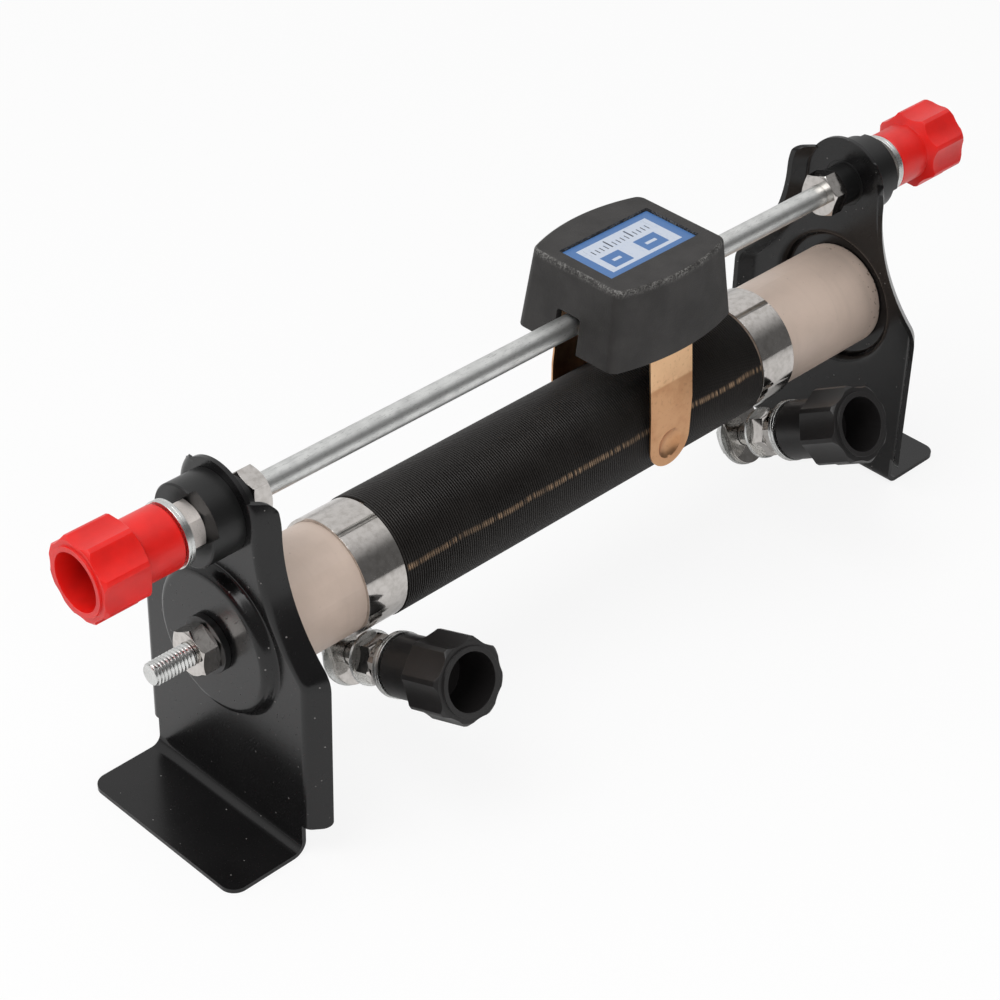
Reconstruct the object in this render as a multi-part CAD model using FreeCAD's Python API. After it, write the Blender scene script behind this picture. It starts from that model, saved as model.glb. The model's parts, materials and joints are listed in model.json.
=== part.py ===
"""Tubular slide rheostat.

A porcelain tube wound with resistance wire is held between two pressed steel
brackets by a tie rod. A slider rides on a plated rod above the tube, and its
copper strip presses on the winding from both sides. The rod ends in two red
screw terminals, and the ends of the winding in two black ones.

Each piece is drawn with the tube's axis along X. Where a piece is the same at
both ends, it is drawn for the right-hand end and turned half round for the
left. The finished part is then moved so that it stands on z = 0, with the
origin under the middle of its box.
"""
import FreeCAD
import Part
import math
import os

V = FreeCAD.Vector
ORIGIN = V(0, 0, 0)
X_AXIS = V(1, 0, 0)
Y_AXIS = V(0, 1, 0)
Z_AXIS = V(0, 0, 1)

# Main layout
tube_length = 227.0
tube_axis_height = 51.0
rod_rise = 36.3

# Porcelain tube and winding
tube_radius = 14.8
tube_bore_radius = 9.5
tube_rim_round = 0.6
winding_radius = 16.0
winding_length = 130.0
winding_shift = -1.9

# Pressed steel bracket
sheet = 1.2
web_half_width = 28.7
shoulder_radius = 4.0
neck_radius = 47.0
ear_radius = 13.0
flange_depth = 5.1
flange_spread = 3.8
flange_bottom = 9.0
flange_low_rise = 7.0
flange_high_rise = 9.5
low_corner_radius = 2.2
high_corner_radius = 3.6
bend_radius = 1.6
foot_bend_radius = 2.7
foot_reach = 21.7
foot_half_width = 26.8
foot_corner_radius = 4.0
dish_height = 3.3
dish_flat_radius = 17.2
dish_foot_round = 1.2
dish_shoulder_round = 2.2
dish_wall_angle = 70.0

# M6 threads, hexagon nuts and washers
thread_radius = 3.0
thread_gap = 0.05
nut_flats = 11.2
nut_height = 5.0
nut_chamfer = 0.5
washer_radius = 8.3
washer_height = 0.95

# Tie rod through the tube
tie_shank_radius = 2.7
tie_seat_radius = 2.8
tie_thread_length = 8.0
tie_washer_radius = 7.4
tie_washer_height = 1.8
tie_rod_overhang = 11.2
tie_stud_gap = 0.3
tie_hole_gap = 0.3
rod_end_chamfer = 0.6

# Slide rod and its insulation
rod_radius = 3.0
bush_radius = 10.5
bush_length = 9.5
bush_chamfer = 0.4
bush_neck_radius = 6.5
bush_neck_gap = 0.05
slot_depth = 2.0
slot_gap = 0.3
slot_angle = 42.0
collar_radius = 9.0
collar_length = 5.8

# Terminal caps
cap_length = 25.0
cap_waist_radius = 8.0
cap_waist_length = 10.6
cap_shoulder = 1.6
cap_head_radius = 10.8
cap_edge_round = 0.8
cap_flutes = 8
cap_flute_depth = 1.2
cap_flute_radius = 11.0
cap_bore_radius = 7.3
cap_bore_depth = 13.0
cap_lip_width = 1.3
cap_lip_height = 0.5
insert_radius = 5.0
insert_length = 9.0
stud_end_gap = 0.5

# Clamp bands at the ends of the winding
band_width = 12.3
band_thickness = 0.9
front_strap_angle = 20.0
back_strap_angle = 35.0
ear_gap = 6.0
ear_end_drop = 2.0
band_bend_radius = 1.0
screw_offset = 24.3
screw_hole_gap = 0.15
screw_head_height = 3.5
clamp_washer_radius = 7.0
clamp_nut_turn = -26.0
lock_nut_height = 4.6
lock_nut_turn = 5.0
left_terminal_tilt = 21.0
right_terminal_tilt = 30.5
left_set_back = 3.3
right_set_back = 4.0
right_cap_turn = 22.5

# Slider housing
slider_rest = 23.5
slider_top_length = 39.5
slider_top_width = 29.3
slider_bulge = 3.8
slider_height = 22.0
slider_top_rise = 15.7
slider_end_draft = 2.65
slider_side_draft = 1.7
slider_corner_radius = 3.0
slider_edge_radius = 1.0
slider_wall = 2.0
slider_roof = 3.2
notch_width = 8.0
notch_rise = 3.6
notch_corner_radius = 1.0
label_length = 32.0
label_width = 18.0
label_recess = 1.0
label_thickness = 0.3
label_gap = 0.25
boss_radius = 3.2

# Copper contact strip and its screws
strip_width = 15.6
strip_thickness = 0.5
strip_bend_radius = 0.8
strip_rod_gap = 0.05
shoulder_drop = 3.6
leg_top_reach = 15.3
leg_bend_reach = 17.2
leg_bend_height = 11.2
leg_end_reach = 17.5
leg_end_height = -6.5
leg_end_radius = 7.4
leg_crease_radius = 6.0
dimple_radius = 4.4
contact_gap = 0.1
strip_screw_reach = 10.0
strip_screw_radius = 1.25
strip_screw_length = 9.0
screw_end_gap = 0.5
strip_screw_head_radius = 2.4
strip_screw_head_height = 1.3

# Places that follow from the sizes above
ground = -tube_axis_height
dish_face = tube_length / 2 + sheet
web_outer = dish_face - dish_height
web_inner = web_outer - sheet
rod_nut_seat = web_outer + bush_length - slot_depth
rod_washer_seat = rod_nut_seat + nut_height
inner_nut_face = web_inner - collar_length - nut_height
ear_outer = ear_gap / 2 + band_thickness
clamp_nut_seat = ear_outer + washer_height
clamp_washer_seat = clamp_nut_seat + nut_height + lock_nut_height
stud_reach = 2 * washer_height + insert_length - stud_end_gap
winding_start = winding_shift - winding_length / 2
winding_end = winding_shift + winding_length / 2
left_band_middle = winding_start - band_width / 2
right_band_middle = winding_end + band_width / 2
slider_top = rod_rise + slider_top_rise
slider_bottom = slider_top - slider_height
strip_seat = rod_rise - shoulder_drop + strip_thickness

# Middle, tilt, set back and turn of the cap for each clamp
CLAMPS = {
    "left": (left_band_middle, left_terminal_tilt, left_set_back, 0),
    "right": (right_band_middle, right_terminal_tilt, right_set_back, right_cap_turn),
}


def cylinder(radius, start, end):
    """Solid cylinder along X."""
    return Part.makeCylinder(radius, end - start, V(start, 0, 0), X_AXIS)


def ring(outer, inner, start, end):
    """Plain ring along X."""
    return cylinder(outer, start, end).cut(cylinder(inner, start, end))


def revolved(points):
    """Solid of revolution about X from (x, radius) points."""
    corners = [V(x, 0, radius) for x, radius in points]
    return Part.Face(Part.makePolygon(corners + corners[:1])).revolve(ORIGIN, X_AXIS, 360)


def wire_of(curves):
    """Wire from a list of lines and arcs."""
    return Part.Wire([curve.toShape() for curve in curves])


def raised(shape, height):
    """Copy of a piece at another height."""
    result = shape.copy()
    result.translate(V(0, 0, height))
    return result


def turned_about_x(shape, degrees):
    """Copy of a piece turned about the X axis."""
    result = shape.copy()
    result.rotate(ORIGIN, X_AXIS, degrees)
    return result


def left_hand(shape):
    """Copy of a right-hand piece at the left-hand end."""
    result = shape.copy()
    result.rotate(ORIGIN, Z_AXIS, 180)
    return result


def flat_edges(solid, x):
    """Edges of a solid that lie in the plane x."""
    return [edge for edge in solid.Edges
            if abs(edge.BoundBox.XMin - x) < 1e-6 and abs(edge.BoundBox.XMax - x) < 1e-6]


def hexagon(flats, start, end):
    """Hexagonal bar along X, its corners chamfered at both ends."""
    flat = flats / 2
    corner = flat / math.cos(math.pi / 6)
    angles = [math.radians(60 * i + 30) for i in range(7)]
    points = [V(start, corner * math.cos(a), corner * math.sin(a)) for a in angles]
    bar = Part.Face(Part.makePolygon(points)).extrude(V(end - start, 0, 0))
    turned = revolved([(start, 0), (start, flat), (start + nut_chamfer, corner),
                       (end - nut_chamfer, corner), (end, flat), (end, 0)])
    return bar.common(turned)


def nut(start, height):
    """Hexagon nut along X, plain where the thread would be."""
    return hexagon(nut_flats, start, start + height).cut(
        cylinder(thread_radius + thread_gap, start, start + height))


def washer(start):
    """Terminal washer along X."""
    return ring(washer_radius, thread_radius + thread_gap, start, start + washer_height)


def threaded_rod(radius, start, end):
    """Round rod along X with chamfered ends."""
    return revolved([(start, 0), (start, radius - rod_end_chamfer), (start + rod_end_chamfer, radius),
                     (end - rod_end_chamfer, radius), (end, radius - rod_end_chamfer), (end, 0)])


def porcelain_tube():
    """Hollow tube with softened rims."""
    tube = ring(tube_radius, tube_bore_radius, -tube_length / 2, tube_length / 2)
    rims = flat_edges(tube, -tube_length / 2) + flat_edges(tube, tube_length / 2)
    return tube.makeFillet(tube_rim_round, rims)


def resistance_winding():
    """Sleeve that stands for the single layer of wire."""
    return ring(winding_radius, tube_radius, winding_start, winding_end)


def bracket_outline(x, grow):
    """Outline of the bracket in the plane x, grown sideways and round the ear."""
    neck_y = ear_radius + neck_radius
    shoulder_y = web_half_width - shoulder_radius
    across = neck_y - shoulder_y
    drop = math.sqrt((neck_radius + shoulder_radius) ** 2 - across ** 2)
    meet = math.atan2(drop, across)

    def neck(angle):
        radius = neck_radius - grow
        return V(x, neck_y + radius * math.cos(angle), rod_rise + radius * math.sin(angle))

    def shoulder(angle):
        radius = shoulder_radius + grow
        return V(x, shoulder_y + radius * math.cos(angle), rod_rise - drop + radius * math.sin(angle))

    half = [V(x, web_half_width + grow, ground + flange_bottom), shoulder(0), shoulder(meet / 2),
            shoulder(meet), neck(math.pi + meet / 2), V(x, ear_radius + grow, rod_rise)]
    other = [V(x, -point.y, point.z) for point in half]
    return wire_of([
        Part.LineSegment(half[0], half[1]), Part.Arc(*half[1:4]), Part.Arc(*half[3:6]),
        Part.Arc(half[5], V(x, 0, rod_rise + ear_radius + grow), other[5]),
        Part.Arc(other[5], other[4], other[3]), Part.Arc(other[3], other[2], other[1]),
        Part.LineSegment(other[1], other[0]), Part.LineSegment(other[0], half[0])])


def bracket_pan(face, inset):
    """Solid under the outline, widening from its face towards the tube as the flanges do."""
    slope = flange_spread / flange_depth
    depth = flange_depth + sheet
    free = bracket_outline(face - depth, slope * depth - inset)
    pan = Part.makeLoft([bracket_outline(face, -inset), free], True, True)
    folded = [edge for edge in flat_edges(pan, face) if edge.BoundBox.ZMax > ground + flange_bottom + 1]
    radius = bend_radius if inset else bend_radius + sheet
    return pan.makeFillet(radius, folded)


def flange_zone():
    """Block that keeps the flanges between their ends, one higher, and rounds their free corners."""
    reach = 2 * web_half_width
    bottom = ground + flange_bottom
    free_edge = web_outer - flange_depth
    halves = []
    for start, rise, radius in ((0, flange_low_rise, low_corner_radius),
                                (-reach, flange_high_rise, high_corner_radius)):
        half = Part.makeBox(flange_depth, reach, rod_rise + rise - bottom, V(free_edge, start, bottom))
        corners = [edge for edge in flat_edges(half, free_edge) if edge.BoundBox.YLength > reach / 2]
        halves.append(half.makeFillet(radius, corners))
    return halves[0].fuse(halves[1])


def bracket_foot():
    """Foot folded outwards from the bottom of the web, with the strip of web above it."""
    outer = foot_bend_radius + sheet
    bend = V(web_outer + foot_bend_radius, 0, ground + outer)
    end = web_outer + foot_reach
    top = ground + flange_bottom
    diagonal = math.sqrt(0.5)

    def at(x, z):
        return V(x, -foot_half_width, z)

    profile = Part.Face(wire_of([
        Part.LineSegment(at(web_inner, top), at(web_inner, bend.z)),
        Part.Arc(at(web_inner, bend.z), at(bend.x - outer * diagonal, bend.z - outer * diagonal),
                 at(bend.x, ground)),
        Part.LineSegment(at(bend.x, ground), at(end, ground)),
        Part.LineSegment(at(end, ground), at(end, ground + sheet)),
        Part.LineSegment(at(end, ground + sheet), at(bend.x, ground + sheet)),
        Part.Arc(at(bend.x, ground + sheet),
                 at(bend.x - foot_bend_radius * diagonal, bend.z - foot_bend_radius * diagonal),
                 at(web_outer, bend.z)),
        Part.LineSegment(at(web_outer, bend.z), at(web_outer, top)),
        Part.LineSegment(at(web_outer, top), at(web_inner, top))]))
    foot = profile.extrude(V(0, 2 * foot_half_width, 0))
    corners = [edge for edge in flat_edges(foot, end) if edge.BoundBox.ZLength > sheet / 2]
    return foot.makeFillet(foot_corner_radius, corners)


def dish_base_radius():
    """Radius where the dish's soft foot meets the flat web."""
    lean = math.radians(dish_wall_angle)
    rounds = dish_foot_round + dish_shoulder_round
    wall = (dish_height - rounds * (1 - math.cos(lean))) / math.sin(lean)
    return dish_flat_radius + rounds * math.sin(lean) + wall * math.cos(lean)


def pressed_dish():
    """The dish as bent sheet, with a soft foot and a soft shoulder."""
    base = dish_base_radius()
    lean = math.radians(dish_wall_angle)

    def foot(angle, depth):
        radius = dish_foot_round + depth
        return V(web_outer + dish_foot_round - radius * math.cos(angle), 0,
                 base - radius * math.sin(angle))

    def shoulder(angle, depth):
        radius = dish_shoulder_round - depth
        return V(dish_face - dish_shoulder_round + radius * math.cos(angle), 0,
                 dish_flat_radius + radius * math.sin(angle))

    def side(depth):
        return [Part.Arc(foot(0, depth), foot(lean / 2, depth), foot(lean, depth)),
                Part.LineSegment(foot(lean, depth), shoulder(lean, depth)),
                Part.Arc(shoulder(lean, depth), shoulder(lean / 2, depth), shoulder(0, depth)),
                Part.LineSegment(shoulder(0, depth), V(dish_face - depth, 0, 0))]

    ends = [Part.LineSegment(V(dish_face, 0, 0), V(dish_face - sheet, 0, 0)),
            Part.LineSegment(foot(0, sheet), foot(0, 0))]
    return Part.Face(wire_of(side(0) + ends + side(sheet))).revolve(ORIGIN, X_AXIS, 360)


def end_bracket():
    """Right-hand bracket: web with a rounded ear, two swept flanges, foot, dish and two holes."""
    web = Part.Face(bracket_outline(web_inner, 0)).extrude(V(sheet, 0, 0))
    zone = flange_zone()
    pan = bracket_pan(web_outer, 0).cut(bracket_pan(web_inner, sheet / 2))
    above = Part.makeBox(3 * sheet, 4 * web_half_width, 2 * ear_radius,
                         V(web_inner - sheet, -2 * web_half_width, rod_rise + flange_low_rise))
    body = pan.common(zone).fuse([web.common(above).cut(zone), bracket_foot()])
    body = body.cut(cylinder(dish_base_radius(), web_inner, web_outer)).fuse(pressed_dish())
    body = body.cut(cylinder(thread_radius + tie_hole_gap, web_inner, dish_face))
    bush_hole = cylinder(bush_neck_radius + bush_neck_gap, web_inner, web_outer)
    return body.cut(raised(bush_hole, rod_rise)).removeSplitter()


def tie_rod():
    """Rod right through the tube: a plain shank, and threads that stand out past the nuts."""
    thread_start = tube_length / 2 - tie_thread_length
    nut_face = dish_face + tie_washer_height + nut_height
    free = nut_face + tie_stud_gap
    end = nut_face + tie_rod_overhang
    right = [(thread_start, tie_shank_radius), (thread_start, tie_seat_radius), (free, tie_seat_radius),
             (free, thread_radius), (end - rod_end_chamfer, thread_radius),
             (end, thread_radius - rod_end_chamfer), (end, 0)]
    return revolved([(-x, radius) for x, radius in reversed(right)] + right)


def slide_rod():
    """Plated rod that carries the slider, long enough to hold both red caps."""
    end = rod_washer_seat + stud_reach
    return raised(threaded_rod(rod_radius, -end, end), rod_rise)


def rod_bush():
    """Insulating bush: a neck in the bracket's ear and a slotted flange that holds a nut."""
    end = web_outer + bush_length
    body = cylinder(bush_radius, web_outer, end)
    body = body.makeChamfer(bush_chamfer, flat_edges(body, end))
    body = body.fuse(cylinder(bush_neck_radius, web_inner, web_outer))
    slot_width = nut_flats + 2 * slot_gap
    slot = Part.makeBox(slot_depth, 2 * bush_radius, slot_width,
                        V(end - slot_depth, -bush_radius, -slot_width / 2))
    body = body.cut(turned_about_x(slot, slot_angle))
    return raised(body.cut(cylinder(rod_radius + thread_gap, web_inner, end)), rod_rise)


def rod_collar():
    """Insulating collar inside the bracket's ear."""
    start = web_inner - collar_length
    return raised(ring(collar_radius, rod_radius + thread_gap, start, web_inner), rod_rise)


def rod_nut(start):
    """Nut on the slide rod, turned as the bush's slot is."""
    return raised(turned_about_x(nut(start, nut_height), slot_angle + 30), rod_rise)


def terminal_cap():
    """Moulded cap along X: a pocket for the insert, a round waist and a fluted hollow head."""
    face = cap_length - cap_lip_height
    head_start = cap_waist_length + cap_shoulder
    body = revolved([
        (0, 0), (0, cap_waist_radius - cap_edge_round), (cap_edge_round, cap_waist_radius),
        (cap_waist_length, cap_waist_radius), (head_start, cap_head_radius),
        (face - cap_edge_round, cap_head_radius), (face, cap_head_radius - cap_edge_round), (face, 0)])
    distance = cap_head_radius - cap_flute_depth + cap_flute_radius
    flute = cylinder(cap_flute_radius, cap_waist_length - cap_shoulder, cap_length)
    flute.translate(V(0, distance, 0))
    for i in range(cap_flutes):
        body = body.cut(turned_about_x(flute, 360 * i / cap_flutes))
    body = body.fuse(cylinder(cap_bore_radius + cap_lip_width, face - cap_lip_height, cap_length))
    body = body.cut(cylinder(cap_bore_radius, cap_length - cap_bore_depth, cap_length))
    return body.cut(cylinder(insert_radius, 0, insert_length))


def cap_insert():
    """Threaded brass insert in the root of a cap."""
    return ring(insert_radius, thread_radius + thread_gap, 0, insert_length)


def on_rod(shape, distance):
    """Put a piece drawn along X on the slide rod, outside the right-hand bracket's nut."""
    result = shape.copy()
    result.translate(V(rod_washer_seat + distance, 0, rod_rise))
    return result


def clamp_band(end):
    """Clamp band: a strip round the tube whose ends leave it as straps and turn into two ears."""
    middle, tilt, set_back, _ = CLAMPS[end]
    start = middle - band_width / 2
    tip_middle = -screw_offset - ear_end_drop

    def strap(side, degrees):
        angle = math.radians(degrees)
        leave = V(start, side * tube_radius * math.sin(angle), -tube_radius * math.cos(angle))
        ear = set_back + side * ear_gap / 2
        root = V(start, ear, leave.z - abs(leave.y - ear) * math.tan(angle))
        return [V(start, ear, tip_middle - band_width / 2), root, leave]

    back = strap(1, back_strap_angle)
    front = strap(-1, front_strap_angle)
    top = Part.Arc(back[-1], V(start, 0, tube_radius), front[-1])
    bend = [band_bend_radius]
    curves = rounded_path(back, bend) + [top] + rounded_path(front, bend)
    band = wire_of(curves).makeOffset2D(band_thickness, 0, True, True).extrude(V(band_width, 0, 0))
    outer = set_back - ear_outer
    tip = Part.makeBox(band_width, 2 * ear_outer, band_width / 2,
                       V(start, outer, tip_middle - band_width / 2))
    tip = tip.cut(Part.makeCylinder(band_width / 2, 2 * ear_outer, V(middle, outer, tip_middle), Y_AXIS))
    hole = Part.makeCylinder(thread_radius + screw_hole_gap, 2 * ear_outer,
                             V(middle, outer, -screw_offset), Y_AXIS)
    return turned_about_x(band.cut(tip).cut(hole), -tilt)


def on_clamp(shape, end):
    """Put a piece drawn along X on a clamp's screw, measured from between the ears outwards."""
    middle, tilt, set_back, _ = CLAMPS[end]
    result = shape.copy()
    result.rotate(ORIGIN, Z_AXIS, -90)
    result.translate(V(middle, set_back, -screw_offset))
    return turned_about_x(result, -tilt)


def clamp_screw():
    """Hexagon-head screw through both ears, long enough to hold a black cap."""
    head = hexagon(nut_flats, -clamp_nut_seat - screw_head_height, -clamp_nut_seat)
    return head.fuse(threaded_rod(thread_radius, -clamp_nut_seat, clamp_washer_seat + stud_reach))


def slider_outline(height, inset):
    """Outline of the slider at a height: straight ends and bulging sides."""
    share = (slider_top - height) / slider_height
    half_x = slider_top_length / 2 + share * slider_end_draft - inset
    half_y = slider_top_width / 2 + share * slider_side_draft - inset
    crown = half_y + slider_bulge
    return wire_of([
        Part.LineSegment(V(-half_x, half_y, height), V(-half_x, -half_y, height)),
        Part.Arc(V(-half_x, -half_y, height), V(0, -crown, height), V(half_x, -half_y, height)),
        Part.LineSegment(V(half_x, -half_y, height), V(half_x, half_y, height)),
        Part.Arc(V(half_x, half_y, height), V(0, crown, height), V(-half_x, half_y, height))])


def slider_block(bottom, top, inset, corner_radius):
    """Drafted block between two heights, with rounded upright corners."""
    block = Part.makeLoft([slider_outline(bottom, inset), slider_outline(top, inset)], True, True)
    uprights = [edge for edge in block.Edges if edge.BoundBox.ZLength > (top - bottom) / 2]
    return block.makeFillet(corner_radius, uprights)


def rod_notch():
    """Slot along X that lets the slider hang over the rod."""
    reach = 2 * slider_top_length
    bottom = slider_bottom - 1
    top = rod_rise + notch_rise
    slot = Part.makeBox(reach, notch_width, top - bottom, V(-reach / 2, -notch_width / 2, bottom))
    corners = [edge for edge in slot.Edges
               if edge.BoundBox.ZMin > top - 1e-6 and edge.BoundBox.XLength > reach / 2]
    return slot.makeFillet(notch_corner_radius, corners)


def slider_housing():
    """Moulded housing: a drafted shell with rod notches, two screw bosses and a label recess."""
    block = slider_block(slider_bottom, slider_top, 0, slider_corner_radius)
    rim = [edge for edge in block.Edges if edge.BoundBox.ZMin > slider_top - 1e-6]
    block = block.makeFillet(slider_edge_radius, rim)
    ceiling = slider_top - slider_roof
    cavity = slider_block(slider_bottom - 1, ceiling, slider_wall, slider_corner_radius / 2)
    bosses = [Part.makeCylinder(boss_radius, ceiling + slider_roof / 2 - strip_seat,
                                V(0, side * strip_screw_reach, strip_seat)) for side in (-1, 1)]
    holes = [Part.makeCylinder(strip_screw_radius, strip_screw_length,
                               V(0, side * strip_screw_reach, strip_seat)) for side in (-1, 1)]
    recess = Part.makeBox(label_length, label_width, label_recess,
                          V(-label_length / 2, -label_width / 2, slider_top - label_recess))
    return block.cut(cavity).fuse(bosses).cut([rod_notch(), recess] + holes).removeSplitter()


def label_plate():
    """Thin label lying in the housing's recess."""
    length = label_length - 2 * label_gap
    width = label_width - 2 * label_gap
    return Part.makeBox(length, width, label_thickness,
                        V(-length / 2, -width / 2, slider_top - label_recess))


def rounded_path(points, radii):
    """Lines through points, with an arc of each radius at the corners between them."""
    curves = []
    last = points[0]
    for before, corner, after, radius in zip(points, points[1:], points[2:], radii):
        back = (before - corner).normalize()
        onward = (after - corner).normalize()
        half = back.getAngle(onward) / 2
        inward = (back + onward).normalize()
        start = corner + back * (radius / math.tan(half))
        end = corner + onward * (radius / math.tan(half))
        middle = corner + inward * (radius / math.sin(half) - radius)
        curves += [Part.LineSegment(last, start), Part.Arc(start, middle, end)]
        last = end
    return curves + [Part.LineSegment(last, points[-1])]


def leg_lean():
    """How far a leg leans in for each millimetre below its bend; less than nothing is outwards."""
    return (leg_bend_reach - leg_end_reach) / (leg_bend_height - leg_end_height)


def strip_sheet():
    """The bent strip before its ends are rounded: an arch over the rod, two shoulders and two legs."""
    arch_radius = rod_radius + strip_rod_gap
    shoulder = rod_rise - shoulder_drop
    x = -strip_width / 2

    def half(side):
        return rounded_path([V(x, side * arch_radius, rod_rise), V(x, side * arch_radius, shoulder),
                             V(x, side * leg_top_reach, shoulder),
                             V(x, side * leg_bend_reach, leg_bend_height),
                             V(x, side * leg_end_reach, leg_end_height)],
                            [strip_bend_radius, strip_bend_radius, leg_crease_radius])

    arch = Part.Arc(V(x, -arch_radius, rod_rise), V(x, 0, rod_rise + arch_radius),
                    V(x, arch_radius, rod_rise))
    line = wire_of(half(-1) + [arch] + half(1))
    return line.makeOffset2D(strip_thickness, 0, True, True).extrude(V(strip_width, 0, 0))


def leg_end_waste():
    """What is cut from the square ends of the legs so that they taper to a round tip."""
    half = strip_width / 2
    depth = 2 * (leg_end_reach + 2 * strip_thickness)
    tip = leg_end_height + leg_end_radius

    def at(x, z):
        return V(x, -depth / 2, z)

    waste = Part.makeBox(strip_width, depth, leg_bend_height - leg_end_height + 1,
                         at(-half, leg_end_height - 1))
    corners = [at(-half, leg_bend_height), at(half, leg_bend_height), at(leg_end_radius, tip),
               at(-leg_end_radius, tip), at(-half, leg_bend_height)]
    tongue = Part.Face(Part.makePolygon(corners)).extrude(V(0, depth, 0))
    return waste.cut([tongue, Part.makeCylinder(leg_end_radius, depth, at(0, tip), Y_AXIS)])


def dimple():
    """The back leg's dimple, as the bump towards the winding and the dent behind it."""
    reach = leg_bend_reach - leg_lean() * leg_bend_height
    depth = reach - winding_radius - contact_gap
    ball = (dimple_radius ** 2 + depth ** 2) / (2 * depth)
    slab = Part.makeBox(2 * ball, strip_thickness / 2 + depth, 2 * ball, V(-ball, -ball, -ball))
    bump = Part.makeSphere(ball).common(slab)
    dent = Part.makeSphere(ball - strip_thickness)
    for piece in (bump, dent):
        piece.translate(V(0, ball - depth, 0))
        piece.rotate(ORIGIN, X_AXIS, -math.degrees(math.atan(leg_lean())))
        piece.translate(V(0, reach, 0))
    return bump, dent


def contact_strip():
    """Copper strip with rounded ends and a dimple in each leg that bears on the winding."""
    strip = strip_sheet().cut(leg_end_waste())
    bump, dent = dimple()
    strip = strip.fuse([bump, left_hand(bump)]).cut([dent, left_hand(dent)])
    holes = [Part.makeCylinder(strip_screw_radius, strip_thickness,
                               V(0, side * strip_screw_reach, strip_seat - strip_thickness))
             for side in (-1, 1)]
    return strip.cut(holes).removeSplitter()


def strip_screw(side):
    """Small round-headed screw up through the strip into a boss."""
    place = V(0, side * strip_screw_reach, strip_seat - strip_thickness)
    length = strip_thickness + strip_screw_length - screw_end_gap
    shank = Part.makeCylinder(strip_screw_radius, length, place)
    head = Part.makeCylinder(strip_screw_head_radius, strip_screw_head_height,
                             place - V(0, 0, strip_screw_head_height))
    return shank.fuse(head)


def slider_pieces():
    """The slider's pieces, drawn over x = 0 and moved to where the slider rests."""
    pieces = {
        "slider_housing": slider_housing(),
        "label_plate": label_plate(),
        "contact_strip": contact_strip(),
        "strip_screws": Part.makeCompound([strip_screw(-1), strip_screw(1)]),
    }
    for piece in pieces.values():
        piece.translate(V(slider_rest, 0, 0))
    return pieces


def both_ends(shape):
    """A right-hand piece and its left-hand twin, as one group."""
    return Part.makeCompound([shape, left_hand(shape)])


def frame_pieces():
    """The tube, its brackets and everything fastened to them."""
    pieces = {
        "porcelain_tube": porcelain_tube(),
        "resistance_winding": resistance_winding(),
        "tie_rod": tie_rod(),
        "tie_rod_washers": both_ends(ring(tie_washer_radius, thread_radius + thread_gap,
                                          dish_face, dish_face + tie_washer_height)),
        "tie_rod_nuts": both_ends(nut(dish_face + tie_washer_height, nut_height)),
        "slide_rod": slide_rod(),
        "rod_inner_nuts": both_ends(rod_nut(inner_nut_face)),
        "rod_outer_nuts": both_ends(rod_nut(rod_nut_seat)),
        "rod_fixed_washers": both_ends(on_rod(washer(0), 0)),
    }
    handed = {"end_bracket": end_bracket(), "rod_bush": rod_bush(), "rod_collar": rod_collar()}
    for name, shape in handed.items():
        pieces[name + "_right"] = shape
        pieces[name + "_left"] = left_hand(shape)
    return pieces


def clamp_pieces():
    """The clamp bands and the fixed pieces on their screws."""
    front_washer = ring(clamp_washer_radius, thread_radius + thread_gap, ear_outer, clamp_nut_seat)
    lock_nut = nut(clamp_nut_seat + nut_height, lock_nut_height)
    groups = {"clamp_washers": Part.makeCompound([front_washer, washer(-clamp_nut_seat)]),
              "clamp_nuts": turned_about_x(nut(clamp_nut_seat, nut_height), clamp_nut_turn),
              "lock_nuts": turned_about_x(lock_nut, lock_nut_turn),
              "clamp_fixed_washers": washer(clamp_washer_seat)}
    pieces = {}
    for end in CLAMPS:
        pieces["clamp_band_" + end] = clamp_band(end)
        pieces["clamp_screw_" + end] = on_clamp(clamp_screw(), end)
    for name, shape in groups.items():
        pieces[name] = Part.makeCompound([on_clamp(shape, end) for end in CLAMPS])
    return pieces


def cap_pieces():
    """The four terminal caps, each with its insert and the loose washer under it."""
    drawn = {"cap": terminal_cap(), "insert": cap_insert(), "washer": washer(0)}
    pieces = {}
    for name, shape in drawn.items():
        shift = washer_height if name == "washer" else 2 * washer_height
        on_stud = shape.copy()
        on_stud.translate(V(clamp_washer_seat + shift, 0, 0))
        pieces["red_" + name + "_right"] = on_rod(shape, shift)
        pieces["red_" + name + "_left"] = left_hand(on_rod(shape, shift))
        for end in CLAMPS:
            turned = turned_about_x(on_stud, CLAMPS[end][-1])
            pieces["black_" + name + "_" + end] = on_clamp(turned, end)
    return pieces


def main():
    """Build every piece, stand the part on its feet and write one file for each."""
    pieces = {**frame_pieces(), **clamp_pieces(), **cap_pieces(), **slider_pieces()}
    box = Part.makeCompound(list(pieces.values())).optimalBoundingBox(False, False)
    shift = V(0, -box.Center.y, -ground)
    os.makedirs("parts", exist_ok=True)
    for name, shape in pieces.items():
        shape.translate(shift)
        shape.exportStep("parts/" + name + ".step")
        if not shape.isValid():
            print("not valid:", name)
    print(len(pieces), "pieces, the tube's axis at y =", round(shift.y, 4))


main()
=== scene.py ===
"""Tubular slide rheostat: the looks of its metal, mouldings, wire and label.

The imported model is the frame, and every piece here stands on it. The tube's
axis runs along X. Sizes are in metres unless a name says otherwise.
"""

import json
import math

import bpy
from mathutils import Matrix, Vector

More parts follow.
